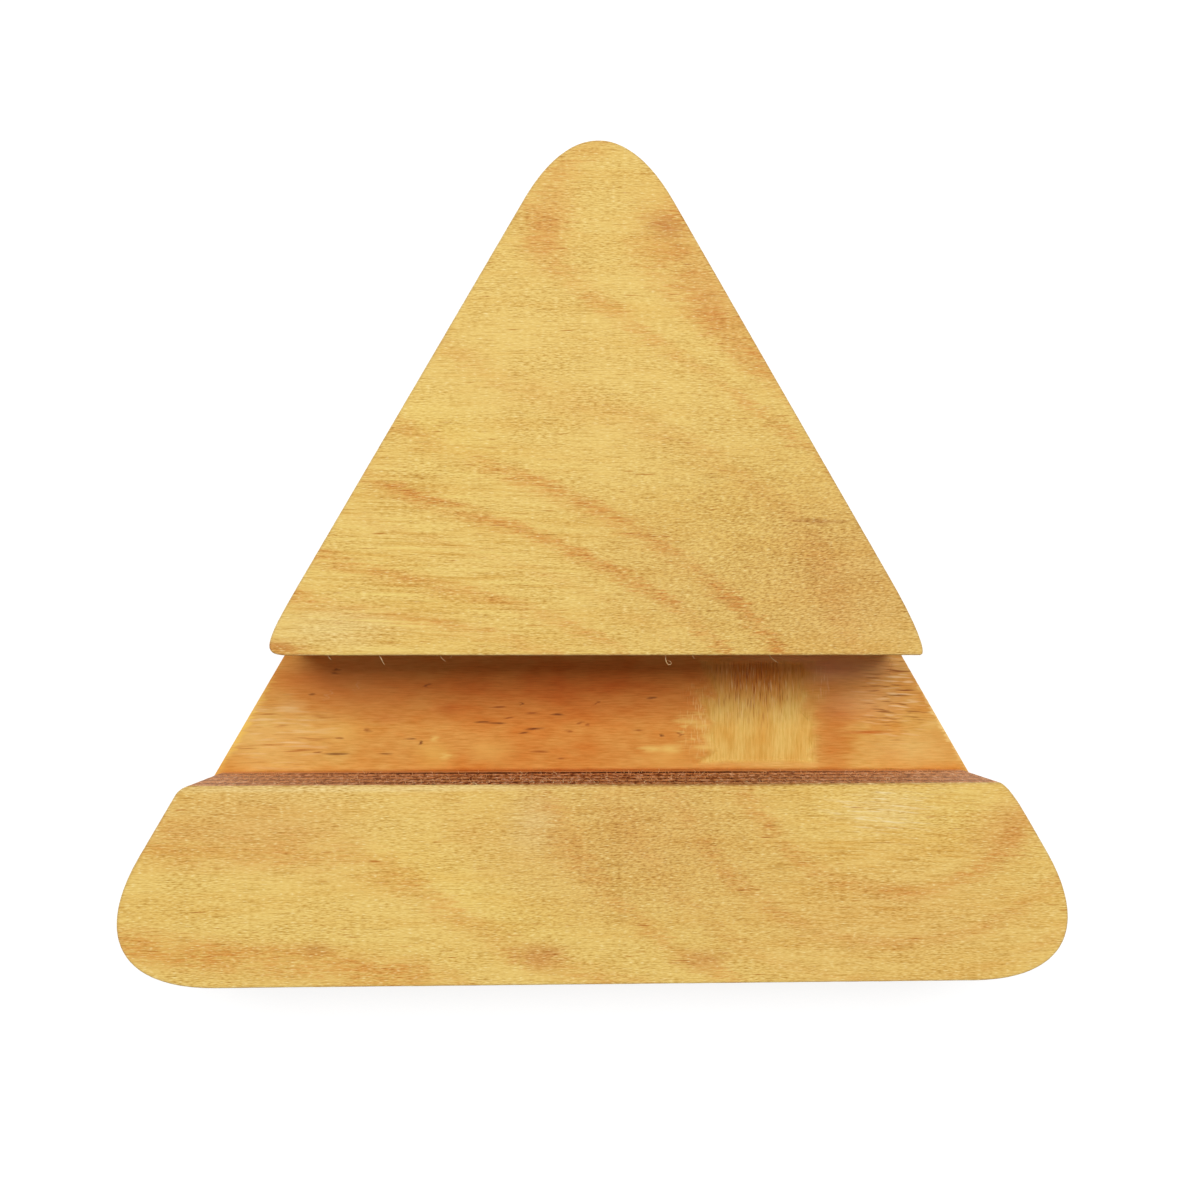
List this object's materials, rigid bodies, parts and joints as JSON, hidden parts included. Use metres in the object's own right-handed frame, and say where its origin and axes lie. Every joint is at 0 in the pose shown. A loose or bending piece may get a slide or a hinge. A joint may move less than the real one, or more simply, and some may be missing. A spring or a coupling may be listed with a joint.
{
  "type": "slotted triangular stand",
  "caption": "Small solid plywood block, triangular with rounded corners, with one square groove routed across its face to hold a phone, tablet or card on edge.",
  "frame": {"origin": "centre of the bounding box of the back face, on which the block lies", "axes": "+X along the groove, +Y towards the apex, +Z out of the grooved front face"},
  "size_m": [0.0988, 0.088, 0.018],
  "materials": {
    "face_veneer": "birch veneer, sanded, bare",
    "long_ply": "sawn and sanded edge, long grain",
    "cross_ply": "sawn and sanded edge, end grain",
    "floor_ply": "routed floor, glue-stained",
    "back_veneer": "birch veneer, sanded, bare"
  },
  "bodies": {
    "root": {"face_veneer_upper": "face_veneer", "cross_ply_2_upper": "cross_ply", "long_ply_3_upper": "long_ply", "cross_ply_4_upper": "cross_ply", "long_ply_5_upper": "long_ply", "cross_ply_6_upper": "cross_ply", "long_ply_7_upper": "long_ply", "cross_ply_8_upper": "cross_ply", "face_veneer_lower": "face_veneer", "cross_ply_2_lower": "cross_ply", "long_ply_3_lower": "long_ply", "cross_ply_4_lower": "cross_ply", "long_ply_5_lower": "long_ply", "cross_ply_6_lower": "cross_ply", "long_ply_7_lower": "long_ply", "cross_ply_8_lower": "cross_ply", "floor_ply_9": "floor_ply", "cross_ply_10": "cross_ply", "long_ply_11": "long_ply", "cross_ply_12": "cross_ply", "back_veneer": "back_veneer"}
  },
  "joints": []
}
